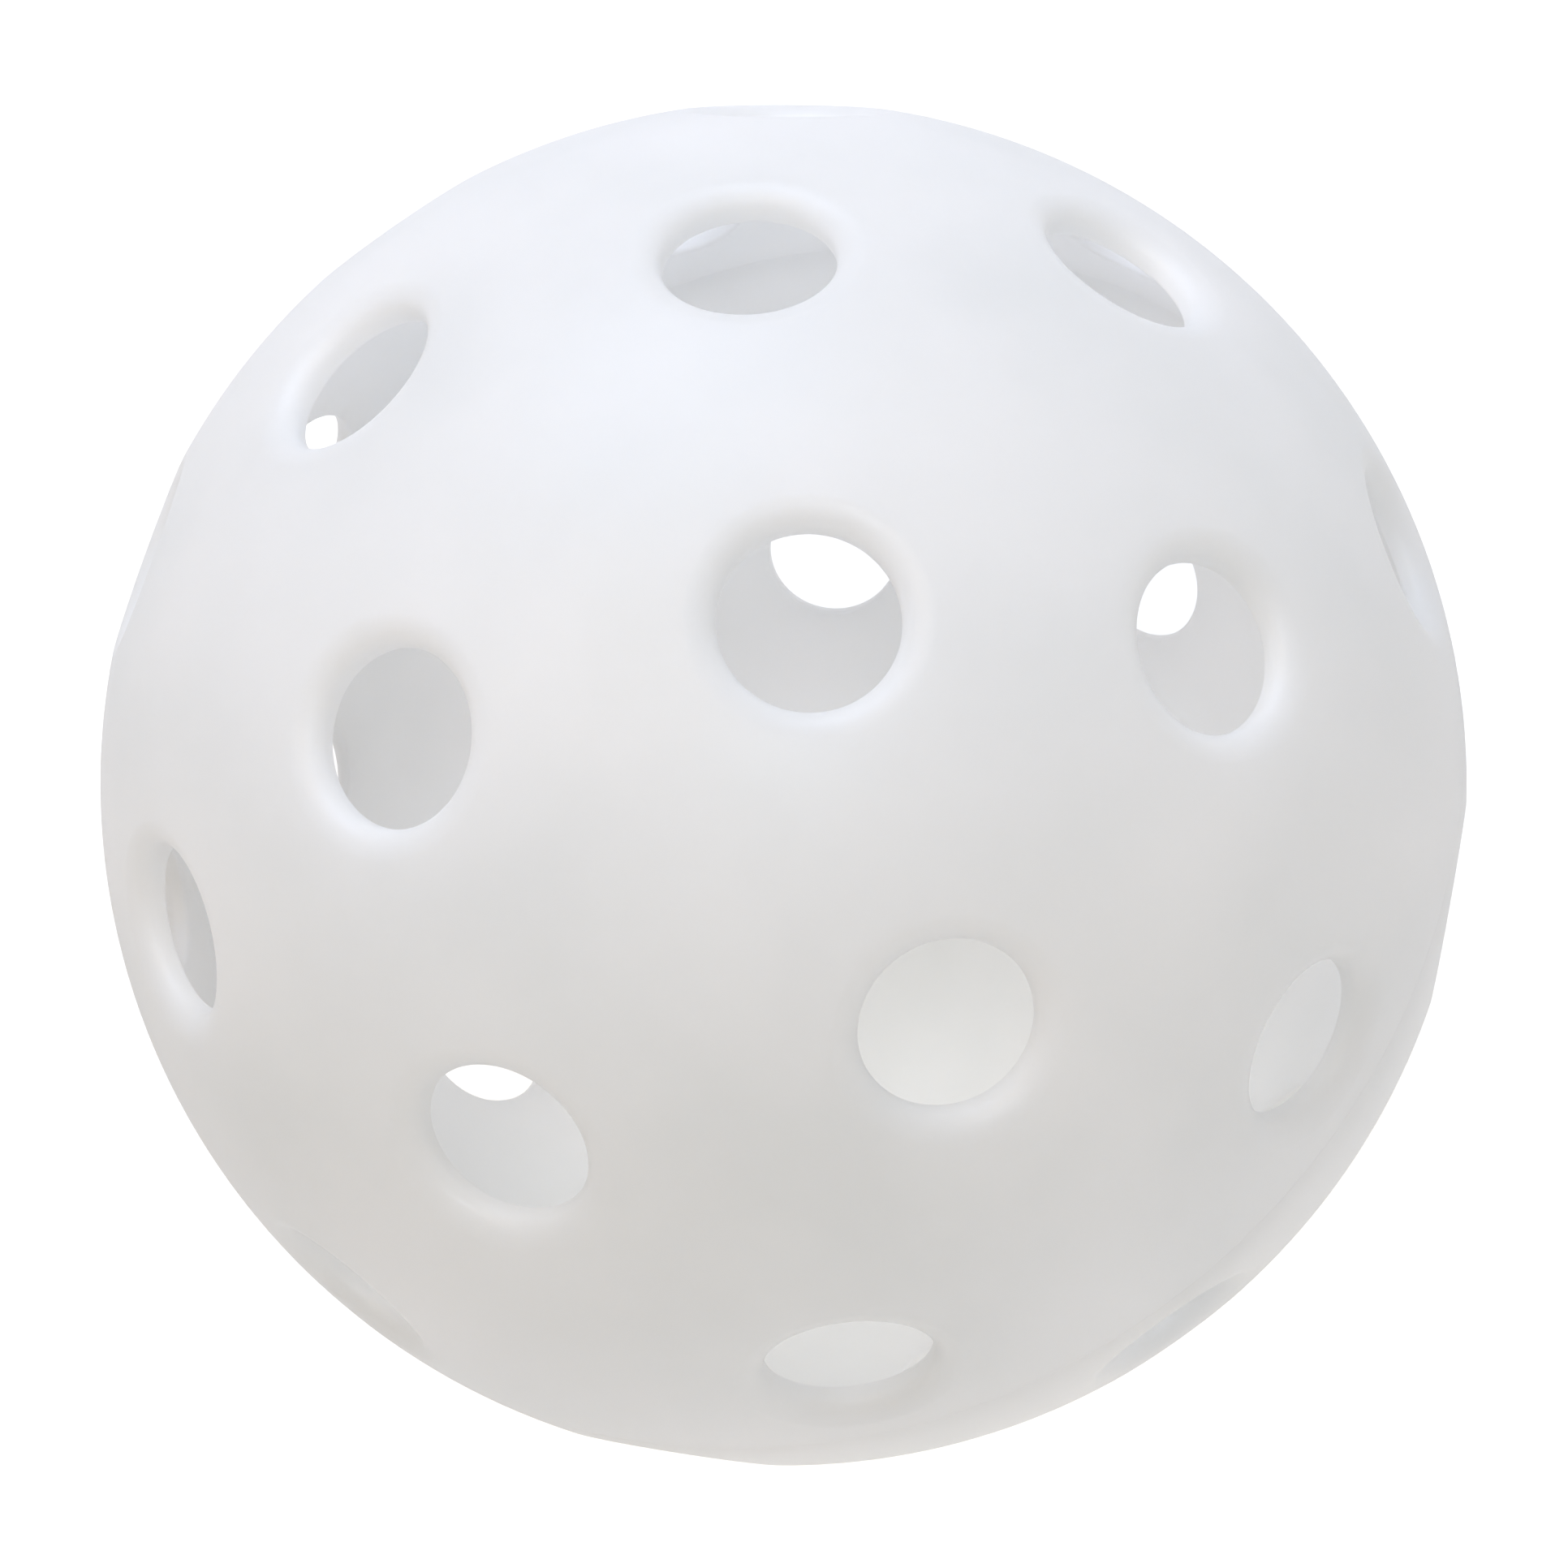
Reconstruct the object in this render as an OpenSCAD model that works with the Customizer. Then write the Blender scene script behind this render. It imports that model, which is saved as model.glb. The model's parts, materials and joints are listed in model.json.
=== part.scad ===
// Hollow perforated court ball, moulded as two half shells and welded at the equator.
// The origin is the centre of the ball, +Z is the mould axis and the seam lies in the XY plane.

/* [Ball] */
// Outside diameter of the ball
ball_d = 74; // [66:0.5:82]
// Thickness of the moulded wall
wall = 1.75; // [1.5:0.05:2.4]

/* [Air holes] */
// Diameter of an air hole at its narrowest
hole_d = 8.3; // [6:0.1:9.4]
// Radius of the rounded rim on the outside of each hole
rim_r = 1.2; // [0.6:0.05:1.3]
// Angle in degrees at which the rounded rim meets the skin
rim_angle = 16; // [14:1:20]

/* [Hole rings of one half] */
// Holes in the ring nearest the pole
cap_count = 4; // [3:1:5]
// Angle in degrees from the pole to the ring nearest it
cap_polar = 23; // [20:0.5:25]
// Holes in each of the other two rings
ring_count = 8; // [6:1:9]
// Angle in degrees from the pole to the middle ring
mid_polar = 51.5; // [49:0.5:53]
// Angle in degrees from the pole to the ring beside the seam
seam_polar = 78.5; // [77:0.5:79]
// Turn in degrees of the lower half against the upper one
half_turn = 22.5; // [0:0.5:45]

/* [Welded seam] */
// Width of the tongue on the edge of the upper half
tongue_w = 0.6; // [0.4:0.05:0.7]
// Height of the tongue below the seam
tongue_h = 0.8; // [0.5:0.05:1]
// Clearance on each side of the tongue in its groove
tongue_gap = 0.05; // [0.03:0.01:0.1]
// Height of the weld bead between the tongue and the floor of the groove
bead_h = 0.3; // [0.2:0.05:0.4]
// Depth of the fine V left along the outside of the seam
seam_v = 0.1; // [0.05:0.01:0.15]

/* [Hidden] */
$fn = 128;

plastic = "#E9EBEC";
melt = "#DDE0E2";

// Radii of the ball
outer_r = ball_d / 2;
inner_r = outer_r - wall;
mid_wall_r = outer_r - wall / 2;

// The rounded rim is a quarter round whose centre runs in a circle about the hole's axis
hole_r = hole_d / 2;
rim_x = hole_r + rim_r;
rim_reach = sqrt(pow(outer_r, 2) + pow(rim_r, 2) - 2 * outer_r * rim_r * cos(rim_angle));
rim_z = sqrt(pow(rim_reach, 2) - pow(rim_x, 2));

// A hole's cutter starts well inside the hollow and ends clear of the skin
cutter_foot = inner_r - 2 * wall;
cutter_top = outer_r + rim_r;

// Half a step between neighbours in a ring staggers one ring against the next
ring_stagger = 180 / ring_count;

// The groove holds the bead below the tongue
groove_w = tongue_w + 2 * tongue_gap;
groove_h = tongue_h + bead_h;

// Section of the wall on the side of the seam where z has the given sign
module wall_section(side) {
    intersection() {
        difference() {
            circle(r = outer_r);
            circle(r = inner_r);
        }
        translate([0, side < 0 ? -outer_r : 0]) square(outer_r);
    }
}

// Section of a ring of rectangular cross-section centred in the wall, its top at z
module ring_section(width, height, z) {
    translate([mid_wall_r - width / 2, z - height]) square([width, height]);
}

// Section of the fine V along the outside of the seam
module seam_section() {
    translate([outer_r, 0]) rotate(45) square(seam_v * sqrt(2), center = true);
}

// Solid that is taken out of the wall for one hole on the +Z axis
module hole_cutter() {
    rotate_extrude() {
        translate([0, cutter_foot]) square([hole_r, rim_z - cutter_foot]);
        difference() {
            translate([0, rim_z]) square([rim_x, cutter_top - rim_z]);
            translate([rim_x, rim_z]) circle(r = rim_r);
        }
    }
}

// One ring of cutters, tipped from the pole and evenly spaced from the given start
module hole_ring(count, polar, start) {
    for (i = [0 : count - 1])
        rotate([0, polar, start + i * 360 / count]) hole_cutter();
}

// All the holes of the half whose pole is +Z
module half_holes() {
    hole_ring(cap_count, cap_polar, 0);
    hole_ring(ring_count, mid_polar, ring_stagger);
    hole_ring(ring_count, seam_polar, 0);
}

// Upper half, with the tongue along its edge
module upper_half_shell() {
    color(plastic) difference() {
        rotate_extrude() difference() {
            union() {
                wall_section(1);
                ring_section(tongue_w, 2 * tongue_h, tongue_h);
            }
            seam_section();
        }
        half_holes();
    }
}

// Lower half, with the groove along its edge and its holes turned half a step
module lower_half_shell() {
    color(plastic) difference() {
        rotate_extrude() difference() {
            wall_section(-1);
            ring_section(groove_w, 2 * groove_h, groove_h);
            seam_section();
        }
        rotate([0, 0, half_turn]) mirror([0, 0, 1]) half_holes();
    }
}

// Ring of melted plastic at the bottom of the groove, which holds the halves together
module weld_bead() {
    color(melt) rotate_extrude() ring_section(tongue_w, bead_h, -tongue_h);
}

upper_half_shell();
lower_half_shell();
weld_bead();
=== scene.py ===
import json
import math

import bpy
from mathutils import Matrix, Vector


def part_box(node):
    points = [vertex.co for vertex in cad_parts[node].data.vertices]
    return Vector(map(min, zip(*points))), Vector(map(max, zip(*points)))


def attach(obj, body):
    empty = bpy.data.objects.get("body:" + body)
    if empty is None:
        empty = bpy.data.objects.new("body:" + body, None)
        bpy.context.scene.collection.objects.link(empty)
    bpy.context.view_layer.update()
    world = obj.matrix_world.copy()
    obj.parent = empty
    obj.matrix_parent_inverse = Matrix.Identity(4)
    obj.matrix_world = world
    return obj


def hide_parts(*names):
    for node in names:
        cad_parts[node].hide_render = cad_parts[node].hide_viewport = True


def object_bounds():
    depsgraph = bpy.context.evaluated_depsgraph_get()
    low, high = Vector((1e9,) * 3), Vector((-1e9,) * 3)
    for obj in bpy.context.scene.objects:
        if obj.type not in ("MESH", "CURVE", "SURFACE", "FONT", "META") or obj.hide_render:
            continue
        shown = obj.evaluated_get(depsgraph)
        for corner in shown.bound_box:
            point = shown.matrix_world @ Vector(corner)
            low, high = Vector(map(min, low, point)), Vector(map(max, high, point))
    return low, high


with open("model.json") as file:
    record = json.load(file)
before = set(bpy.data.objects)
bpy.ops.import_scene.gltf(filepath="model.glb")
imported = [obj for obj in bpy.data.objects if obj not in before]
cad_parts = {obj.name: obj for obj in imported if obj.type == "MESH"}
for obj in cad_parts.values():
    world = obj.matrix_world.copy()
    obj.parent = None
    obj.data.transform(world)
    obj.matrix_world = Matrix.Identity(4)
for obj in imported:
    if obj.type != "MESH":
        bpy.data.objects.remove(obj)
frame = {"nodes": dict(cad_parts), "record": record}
cadLow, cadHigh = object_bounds()
print("frame loaded:", ", ".join(sorted(frame["nodes"])))

mm = 0.001                      # the scene is in metres
mergeWithin = 0.001 * mm        # points of an outline closer than this are one


def hexColour(code):
    # sRGB hex to the linear colour that the shaders take
    channels = [int(code[i:i + 2], 16) / 255 for i in (1, 3, 5)]
    linear = [c / 12.92 if c <= 0.04045 else ((c + 0.055) / 1.055) ** 2.4 for c in channels]
    return (*linear, 1.0)


def addNode(tree, kind, settings=None, inputs=None):
    # a node with its settings, and its inputs as values or as another node's output
    node = tree.nodes.new(kind)
    for name, value in (settings or {}).items():
        setattr(node, name, value)
    for name, value in (inputs or {}).items():
        if isinstance(value, bpy.types.NodeSocket):
            tree.links.new(value, node.inputs[name])
        else:
            node.inputs[name].default_value = value
    return node


def addNoise(tree, place, width, detail):
    # noise whose lumps are about as wide as the given size
    noise = addNode(tree, "ShaderNodeTexNoise", inputs={
        "Vector": place, "Scale": 1 / width, "Detail": detail})
    return noise.outputs["Fac"]


def addRamp(tree, value, steps):
    # a smooth curve through pairs of value and result
    ramp = addNode(tree, "ShaderNodeValToRGB", inputs={"Fac": value})
    ramp.color_ramp.interpolation = "EASE"
    stops = ramp.color_ramp.elements
    while len(stops) < len(steps):
        stops.new(0.5)          # moved to its place below
    for stop, (place, result) in zip(stops, steps):
        stop.position = place
        stop.color = (result, result, result, 1.0)
    return ramp


def newMaterial(name):
    material = bpy.data.materials.new(name)
    material.use_nodes = True
    material.node_tree.nodes.clear()
    return material, material.node_tree


# Sizes that the frame already holds
ballRadius = (cadHigh.z - cadLow.z) / 2
pegHole = next(m for m in frame["record"]["mounts"] if m["name"] == "upper_peg_hole")
throatRadius = pegHole["dims"]["r_mm"] * mm
capPolar = math.degrees(math.acos(pegHole["axis"][2]))
beadLow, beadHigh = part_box("weld_bead")

halfShell = {
    "wall": 1.75 * mm,
    "stepsRound": 256,          # faces round the seam
    "stepsUp": 64,              # faces from seam to pole
    "seamBevel": 0.012 * mm,    # each half's share of the fine V along the seam
    "tongueGap": 0.05 * mm,     # room beside the tongue in its groove
    "touchGap": 0.004 * mm,     # how far each touching face of the joint is set back
    "smoothDeg": 40,
    "skinDepth": 0.0015 * mm,   # points this near the outside shade as a true sphere
    "seamClear": 0.018 * mm,    # apart from those this near the seam
    "jointSlack": 0.01 * mm,    # allowed for when the joint's faces are picked out
    "levelFrom": 0.99,          # a face is level when its normal is this upright
}

airHole = {
    "rimWidth": 1.7 * mm,       # how far the rounding reaches across the skin
    "rimDepth": 1.25 * mm,      # and down into the hole
    "rimSteps": 14,
    "rimLift": 0.01 * mm,       # lets the rounding run out through the skin at a few degrees
    "innerRound": 0.25 * mm,    # small radius on the inside edge
    "innerSteps": 4,
    "stepsRound": 96,
    "sliver": 0.002 * mm,       # shorter edges are merged away after the cut
    "lowerTurn": 22.5,          # the lower half's holes sit half a step round
    "rings": [                  # holes, degrees from the pole, degrees to the first one
        (4, capPolar, 0.0),
        (8, 51.5, 22.5),
        (8, 78.5, 0.0),
    ],
}


def deselectAll():
    if bpy.context.object and bpy.context.object.mode != "OBJECT":
        bpy.ops.object.mode_set(mode="OBJECT")
    bpy.ops.object.select_all(action="DESELECT")


def latheProfile(name, points, steps):
    # draws the outline vertex by vertex in XZ and spins it round Z
    deselectAll()
    bpy.ops.mesh.primitive_plane_add(size=mm)
    piece = bpy.context.object
    piece.name = piece.data.name = name
    bpy.ops.object.mode_set(mode="EDIT")
    bpy.ops.mesh.select_all(action="SELECT")
    bpy.ops.mesh.merge(type="CENTER")
    spots = [Vector((across, 0.0, up)) for across, up in points]
    bpy.ops.transform.translate(value=spots[0])
    for here, there in zip(spots, spots[1:]):
        bpy.ops.mesh.extrude_vertices_move(TRANSFORM_OT_translate={"value": there - here})
    bpy.ops.mesh.select_all(action="SELECT")
    bpy.ops.mesh.spin(steps=steps, angle=math.tau, center=(0, 0, 0), axis=(0, 0, 1))
    bpy.ops.mesh.select_all(action="SELECT")
    bpy.ops.mesh.remove_doubles(threshold=mergeWithin)
    bpy.ops.mesh.normals_make_consistent(inside=False)
    bpy.ops.object.mode_set(mode="OBJECT")
    return piece


def arcPoints(radius, startDeg, endDeg, steps):
    # degrees are counted up from the seam
    angles = [math.radians(startDeg + (endDeg - startDeg) * i / steps) for i in range(steps + 1)]
    return [(radius * math.cos(a), radius * math.sin(a)) for a in angles]


def skinHeight(across, radius):
    return math.sqrt(radius ** 2 - across ** 2)


def holeOutline():
    # outline of what one hole takes away, along its own axis from the hollow outwards
    innerRadius = ballRadius - halfShell["wall"]
    width, depth, lift = airHole["rimWidth"], airHole["rimDepth"], airHole["rimLift"]
    small = airHole["innerRound"]
    foot = innerRadius - halfShell["wall"]
    flareStart = throatRadius + small
    flareFoot = skinHeight(flareStart, innerRadius) - lift
    outline = [(0.0, foot), (flareStart, foot), (flareStart, flareFoot)]
    for i in range(1, airHole["innerSteps"] + 1):
        turn = math.radians(90 * i / airHole["innerSteps"])
        across = throatRadius + small * (1 - math.sin(turn))
        outline.append((across, flareFoot + small * (1 - math.cos(turn))))
    for i in range(airHole["rimSteps"] + 1):
        turn = math.radians(90 * i / airHole["rimSteps"])
        across = throatRadius + width * (1 - math.cos(turn))
        outline.append((across, skinHeight(across, ballRadius) - depth * (1 - math.sin(turn)) + lift))
    top = ballRadius + halfShell["wall"]
    return outline + [(throatRadius + width, top), (0.0, top)]


def drillHoles(shell, turn, flip):
    # one cutter is copied to every place in this half and all are taken out together
    cutter = latheProfile("holeCutter", holeOutline(), airHole["stepsRound"])
    copies = []
    for count, polar, first in airHole["rings"]:
        for i in range(count):
            copy = cutter.copy()
            copy.data = cutter.data.copy()
            bpy.context.collection.objects.link(copy)
            tip = math.radians(180 - polar if flip else polar)
            spin = math.radians(turn + first + 360 * i / count)
            copy.data.transform(Matrix.Rotation(spin, 4, "Z") @ Matrix.Rotation(tip, 4, "Y"))
            copies.append(copy)
    bpy.data.objects.remove(cutter)
    deselectAll()
    for copy in copies:
        copy.select_set(True)
    bpy.context.view_layer.objects.active = copies[0]
    bpy.ops.object.join()
    tool = bpy.context.object
    deselectAll()
    bpy.context.view_layer.objects.active = shell
    shell.select_set(True)
    cut = shell.modifiers.new("airHoles", "BOOLEAN")
    cut.operation = "DIFFERENCE"
    cut.solver = "MANIFOLD"
    cut.object = tool
    bpy.ops.object.modifier_apply(modifier=cut.name)
    bpy.data.objects.remove(tool)
    # slivers that the cut leaves along the rims are merged away
    bpy.ops.object.mode_set(mode="EDIT")
    bpy.ops.mesh.select_all(action="SELECT")
    bpy.ops.mesh.remove_doubles(threshold=airHole["sliver"])
    bpy.ops.mesh.dissolve_degenerate(threshold=airHole["sliver"])
    bpy.ops.mesh.delete_loose()
    bpy.ops.object.mode_set(mode="OBJECT")


def smoothSkin(shell):
    # round faces shade smooth, and the skin's corners take the ball's own direction
    deselectAll()
    bpy.context.view_layer.objects.active = shell
    shell.select_set(True)
    bpy.ops.object.shade_smooth_by_angle(angle=math.radians(halfShell["smoothDeg"]))
    mesh = shell.data
    normals = [corner.vector.copy() for corner in mesh.corner_normals]
    skinFrom = ballRadius - halfShell["skinDepth"]
    for i, loop in enumerate(mesh.loops):
        place = mesh.vertices[loop.vertex_index].co
        if place.length > skinFrom and abs(place.z) > halfShell["seamClear"]:
            normals[i] = place.normalized()
    mesh.normals_split_custom_set(normals)


def wallOutline(side):
    # section of one half's wall, from the pole down the skin, across the edge and back up inside
    wall, bevel, up = halfShell["wall"], halfShell["seamBevel"], halfShell["stepsUp"]
    innerRadius = ballRadius - wall
    midWall = ballRadius - wall / 2
    tongueHalf = beadHigh.x - midWall
    tongueFoot, grooveFoot = beadHigh.z, beadLow.z
    bevelDeg = math.degrees(math.asin(bevel / ballRadius))
    outer = arcPoints(ballRadius, 90, bevelDeg, up)
    touch = halfShell["touchGap"]
    inner = arcPoints(innerRadius, math.degrees(math.asin(touch / innerRadius)), 90, up)
    reach, depth = tongueHalf, tongueFoot + touch
    if side < 0:
        reach, depth = tongueHalf + halfShell["tongueGap"], touch - grooveFoot
    edge = [
        (ballRadius - bevel, touch),
        (midWall + reach, touch),
        (midWall + reach, depth),
        (midWall - reach, depth),
        (midWall - reach, touch),
    ]
    outline = outer + edge + inner
    outline[0] = (0.0, ballRadius)      # the ends lie exactly on the axis
    outline[-1] = (0.0, innerRadius)
    return [(across, height * side) for across, height in outline]


def makeHalf(name, node, side):
    shell = latheProfile(name, wallOutline(side), halfShell["stepsRound"])
    drillHoles(shell, airHole["lowerTurn"] if side < 0 else 0.0, side < 0)
    smoothSkin(shell)
    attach(shell, "root")
    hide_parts(node)
    print(name, "modelled:", len(shell.data.polygons), "faces")
    return shell


# Polyethylene, injection moulded in a polished tool: milky white and satin, and thin enough
# here that light comes through the wall and evens out the inside
mouldedPolyethylene = {
    "light": "#FBFBFB",
    "shade": "#F4F5F5",
    "flow": 14 * mm,            # how wide the faint flow clouds are
    "flowRange": (0.3, 0.7),    # part of the noise over which they run from shade to light
    "peel": 2.2 * mm,           # orange peel of the moulded skin
    "peelHeight": 0.012 * mm,
    "grain": 0.45 * mm,         # tool grain, drawn coarser than the real 0.1 mm so that it shows
    "grainHeight": 0.003 * mm,
    "roughness": (0.34, 0.44),
    "ior": 1.52,
    "through": 0.55,            # share of the light that goes on through each face
}


def plasticMaterial(name, look):
    material, tree = newMaterial(name)
    place = addNode(tree, "ShaderNodeTexCoord").outputs["Object"]
    flow = addNoise(tree, place, look["flow"], detail=3.0)
    peel = addNoise(tree, place, look["peel"], detail=2.0)
    grain = addNoise(tree, place, look["grain"], detail=2.0)
    tint = addNode(tree, "ShaderNodeValToRGB", inputs={"Fac": flow})
    colours = (look["shade"], look["light"])
    for stop, code, where in zip(tint.color_ramp.elements, colours, look["flowRange"]):
        stop.color = hexColour(code)
        stop.position = where
    gloss = addNode(tree, "ShaderNodeMapRange", inputs={
        "Value": flow, "From Min": look["flowRange"][0], "From Max": look["flowRange"][1],
        "To Min": look["roughness"][0], "To Max": look["roughness"][1]})
    peelBump = addNode(tree, "ShaderNodeBump", inputs={
        "Height": peel, "Strength": 1.0, "Distance": look["peelHeight"]})
    grainBump = addNode(tree, "ShaderNodeBump", inputs={
        "Height": grain, "Strength": 1.0, "Distance": look["grainHeight"],
        "Normal": peelBump.outputs["Normal"]})
    skin = addNode(tree, "ShaderNodeBsdfPrincipled", inputs={
        "Base Color": tint.outputs["Color"], "Roughness": gloss.outputs["Result"],
        "IOR": look["ior"], "Normal": grainBump.outputs["Normal"]})
    through = addNode(tree, "ShaderNodeBsdfTranslucent", inputs={
        "Color": tint.outputs["Color"], "Normal": grainBump.outputs["Normal"]})
    both = addNode(tree, "ShaderNodeMixShader", inputs={"Fac": look["through"]})
    tree.links.new(skin.outputs["BSDF"], both.inputs[1])
    tree.links.new(through.outputs["BSDF"], both.inputs[2])
    addNode(tree, "ShaderNodeOutputMaterial", inputs={"Surface": both.outputs["Shader"]})
    return material


shellPlastic = plasticMaterial("mouldedPolyethylene", mouldedPolyethylene)
# The joint's faces are melted together, so all the light goes on through them
jointLook = dict(mouldedPolyethylene, light="#FFFFFF", shade="#FEFEFE", through=1.0)
jointPlastic = plasticMaterial("weldedPolyethylene", jointLook)
# The bead is the same plastic melted and set again, clearer and with coarser ripples
beadLook = dict(jointLook, shade="#FAFBFB", peel=0.8 * mm, peelHeight=0.03 * mm, through=0.97)
beadPlastic = plasticMaterial("remeltedPolyethylene", beadLook)


def dressHalf(half):
    # plain plastic all over, apart from the joint's faces, which are level or stand mid-wall
    mesh = half.data
    mesh.materials.clear()
    mesh.materials.append(shellPlastic)
    mesh.materials.append(jointPlastic)
    midWall = ballRadius - halfShell["wall"] / 2
    jointHalf = halfShell["wall"] / 4
    low, high = beadLow.z - halfShell["jointSlack"], halfShell["jointSlack"]
    for face in mesh.polygons:
        spots = [mesh.vertices[i].co for i in face.vertices]
        atSeam = all(low < p.z < high for p in spots)
        level = abs(face.normal.z) > halfShell["levelFrom"]
        upright = all(abs(p.xy.length - midWall) < jointHalf for p in spots)
        face.material_index = 1 if atSeam and (level or upright) else 0


halves = [
    makeHalf("upperHalfShell", "upper_half_shell", 1),
    makeHalf("lowerHalfShell", "lower_half_shell", -1),
]
for half in halves:
    dressHalf(half)
bead = frame["nodes"]["weld_bead"]
bead.material_slots[0].material = beadPlastic
print("materials set")

# Camera, from where the photograph shows the holes
photoView = {
    "distance": 4.70 * ballRadius,
    "poleTilt": 30.37,          # upper pole off the line to the camera
    "poleTurn": 126.63,         # and round it, from the right
    "firstHole": 20.81,         # turn of the ball about its pole
    "pan": -3.2,                # the ball sits a little off the lens axis
    "tilt": 0.5,
    "framePx": 1932,
    "ballPx": 840.5,
    "centrePx": (965.5, 965.5),
    "clip": (10 * mm, 20.0),
}


def cameraAxes():
    # right, up and back of the photograph's frame, seen from the ball
    tilt, turn = math.radians(photoView["poleTilt"]), math.radians(photoView["poleTurn"])
    first = math.radians(photoView["firstHole"])
    pole = Vector((math.sin(tilt) * math.cos(turn), math.sin(tilt) * math.sin(turn), math.cos(tilt)))
    across = Vector((0, 0, 1)).cross(pole).normalized()
    along = pole.cross(across)
    ballX = math.cos(first) * across + math.sin(first) * along
    ballY = math.cos(first) * along - math.sin(first) * across
    return Matrix((ballX, ballY, pole)).transposed()


viewRight, viewUp, viewBack = cameraAxes()


def placeCamera():
    data = bpy.data.cameras.new("photoCamera")
    camera = bpy.data.objects.new("photoCamera", data)
    bpy.context.collection.objects.link(camera)
    pan, tilt = math.radians(photoView["pan"]), math.radians(photoView["tilt"])
    right = math.cos(pan) * viewRight - math.sin(pan) * viewBack
    ahead = -math.sin(pan) * viewRight - math.cos(pan) * viewBack
    up = math.cos(tilt) * viewUp + math.sin(tilt) * ahead
    ahead = math.cos(tilt) * ahead - math.sin(tilt) * viewUp
    stand = Matrix.Translation(viewBack * photoView["distance"])
    camera.matrix_world = stand @ Matrix((right, up, -ahead)).transposed().to_4x4()
    # the ball's outline fixes the lens, and where it sits in the frame fixes the shift
    spread = math.asin(ballRadius / photoView["distance"])
    edges = [(math.tan(a - spread), math.tan(a + spread)) for a in (pan, tilt)]
    outlineHalf = sum(high - low for low, high in edges) / 4   # mean of half its width and height
    perPx = outlineHalf / photoView["ballPx"]
    frameHalf = perPx * photoView["framePx"] / 2
    offX = photoView["framePx"] / 2 - photoView["centrePx"][0]
    offY = photoView["centrePx"][1] - photoView["framePx"] / 2
    data.lens = data.sensor_width / 2 / frameHalf
    data.shift_x = (sum(edges[0]) / 2 + offX * perPx) / (2 * frameHalf)
    data.shift_y = (sum(edges[1]) / 2 + offY * perPx) / (2 * frameHalf)
    data.clip_start, data.clip_end = photoView["clip"]
    bpy.context.scene.camera = camera
    print("camera placed, lens", round(data.lens, 1),
          "shift", round(data.shift_x, 3), round(data.shift_y, 3))


# Floor and light: a matte floor with a painted glow and a painted pool of light under the ball, a
# pale sky and three soft lamps, in metres
studio = {
    "floorSize": 12.0,
    "floorMatte": "#E1E1E1",
    # colour of the floor's painted glow
    "paintedGlowColour": "#FFF9F0",
    # distance from the centre of the painted pool of light, strength of the painted glow
    "paintedFloorGlow": [(0.0, 0.9), (0.07, 0.36), (0.3, 0.36), (0.8, 1.0)],
    "paintedPoolForward": 30 * mm,     # where the painted pool of light is centred, toward the foot of the frame
    "skyColour": "#FFF8F1",
    # sine of the height above the horizon, strength
    "skyStrength": [(0.0, 1.0), (0.08, 0.28)],
}

# toward: right, up and back in the photograph's frame
studioLamps = {
    "keyLamp": {
        "toward": (-0.25, 0.85, 0.45), "distance": 0.5, "size": 0.4,
        "watts": 1.95, "colour": "#D3E3FF"},
    "sideLamp": {
        "toward": (-0.40, 0.35, 0.85), "distance": 0.7, "size": 0.5,
        "watts": 1.62, "colour": "#FFE5C2"},
    "frontLamp": {
        "toward": (-0.02, 0.13, 1.0), "distance": 0.7, "size": 0.12,
        "watts": 1.1, "colour": "#E7F4FF"},
}


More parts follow.
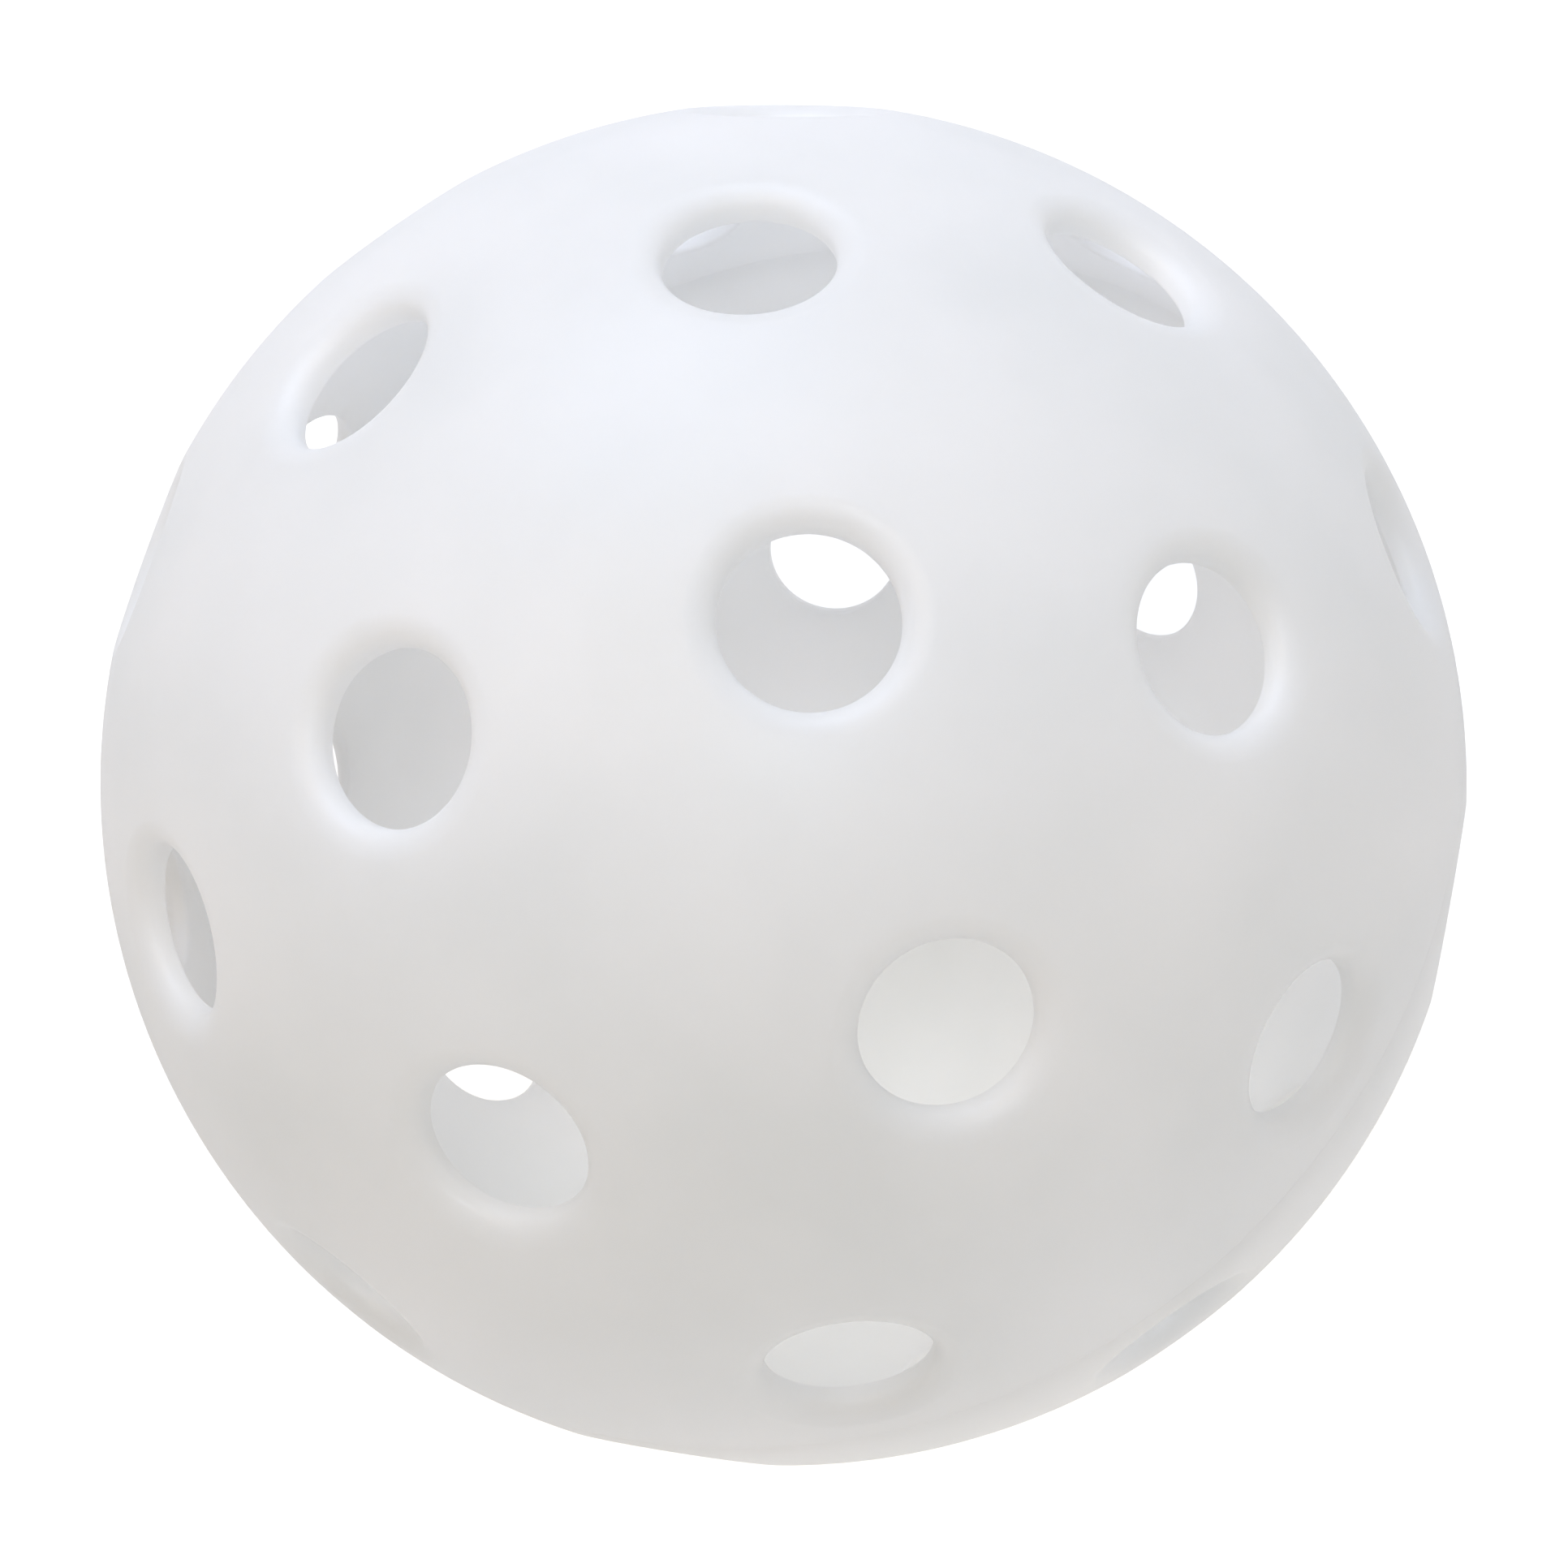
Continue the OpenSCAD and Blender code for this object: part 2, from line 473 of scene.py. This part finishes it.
def floorMaterial():
    # matte floor with a painted glow: a painted pool of light under the ball, dimmer round it and
    # white far away
    material, tree = newMaterial("floorWithPaintedGlow")
    matte = addNode(tree, "ShaderNodeBsdfDiffuse", inputs={"Color": hexColour(studio["floorMatte"])})
    place = addNode(tree, "ShaderNodeTexCoord").outputs["Object"]
    forward = -Vector((viewUp.x, viewUp.y, 0.0)).normalized()
    away = addNode(tree, "ShaderNodeVectorMath", {"operation": "DISTANCE"}, {
        0: place, 1: forward * studio["paintedPoolForward"]})
    glow = addRamp(tree, away.outputs["Value"], studio["paintedFloorGlow"])
    # painted glow: the floor shines like a lamp of its own, brightest in the painted pool of light
    lit = addNode(tree, "ShaderNodeEmission", inputs={
        "Color": hexColour(studio["paintedGlowColour"]), "Strength": glow.outputs["Color"]})
    both = addNode(tree, "ShaderNodeAddShader")
    tree.links.new(matte.outputs["BSDF"], both.inputs[0])
    tree.links.new(lit.outputs["Emission"], both.inputs[1])
    addNode(tree, "ShaderNodeOutputMaterial", inputs={"Surface": both.outputs["Shader"]})
    return material


def layFloor():
    deselectAll()
    bpy.ops.mesh.primitive_plane_add(size=studio["floorSize"], location=(0, 0, cadLow.z))
    floor = bpy.context.object
    floor.name = "floor"
    floor.data.materials.append(floorMaterial())
    print("floor laid")


def lightSky():
    world = bpy.data.worlds.new("studio")
    bpy.context.scene.world = world
    world.use_nodes = True
    tree = world.node_tree
    tree.nodes.clear()
    direction = addNode(tree, "ShaderNodeTexCoord").outputs["Generated"]
    height = addNode(tree, "ShaderNodeSeparateXYZ", inputs={"Vector": direction}).outputs["Z"]
    glow = addRamp(tree, height, studio["skyStrength"])
    sky = addNode(tree, "ShaderNodeBackground", inputs={
        "Color": hexColour(studio["skyColour"]), "Strength": glow.outputs["Color"]})
    addNode(tree, "ShaderNodeOutputWorld", inputs={"Surface": sky.outputs["Background"]})


def hangLamps():
    axes = (viewRight, viewUp, viewBack)
    for name, lamp in studioLamps.items():
        data = bpy.data.lights.new(name, "AREA")
        data.shape = "DISK"
        data.size = lamp["size"]
        data.energy = lamp["watts"]
        data.color = hexColour(lamp["colour"])[:3]
        toward = sum((k * axis for k, axis in zip(lamp["toward"], axes)), Vector())
        toward.normalize()
        aim = toward.to_track_quat("Z", "Y").to_matrix().to_4x4()
        light = bpy.data.objects.new(name, data)
        light.matrix_world = Matrix.Translation(toward * lamp["distance"]) @ aim
        light.visible_camera = False
        bpy.context.collection.objects.link(light)


placeCamera()
layFloor()
lightSky()
hangLamps()
bpy.context.scene.view_settings.view_transform = "Standard"
print("studio lit")
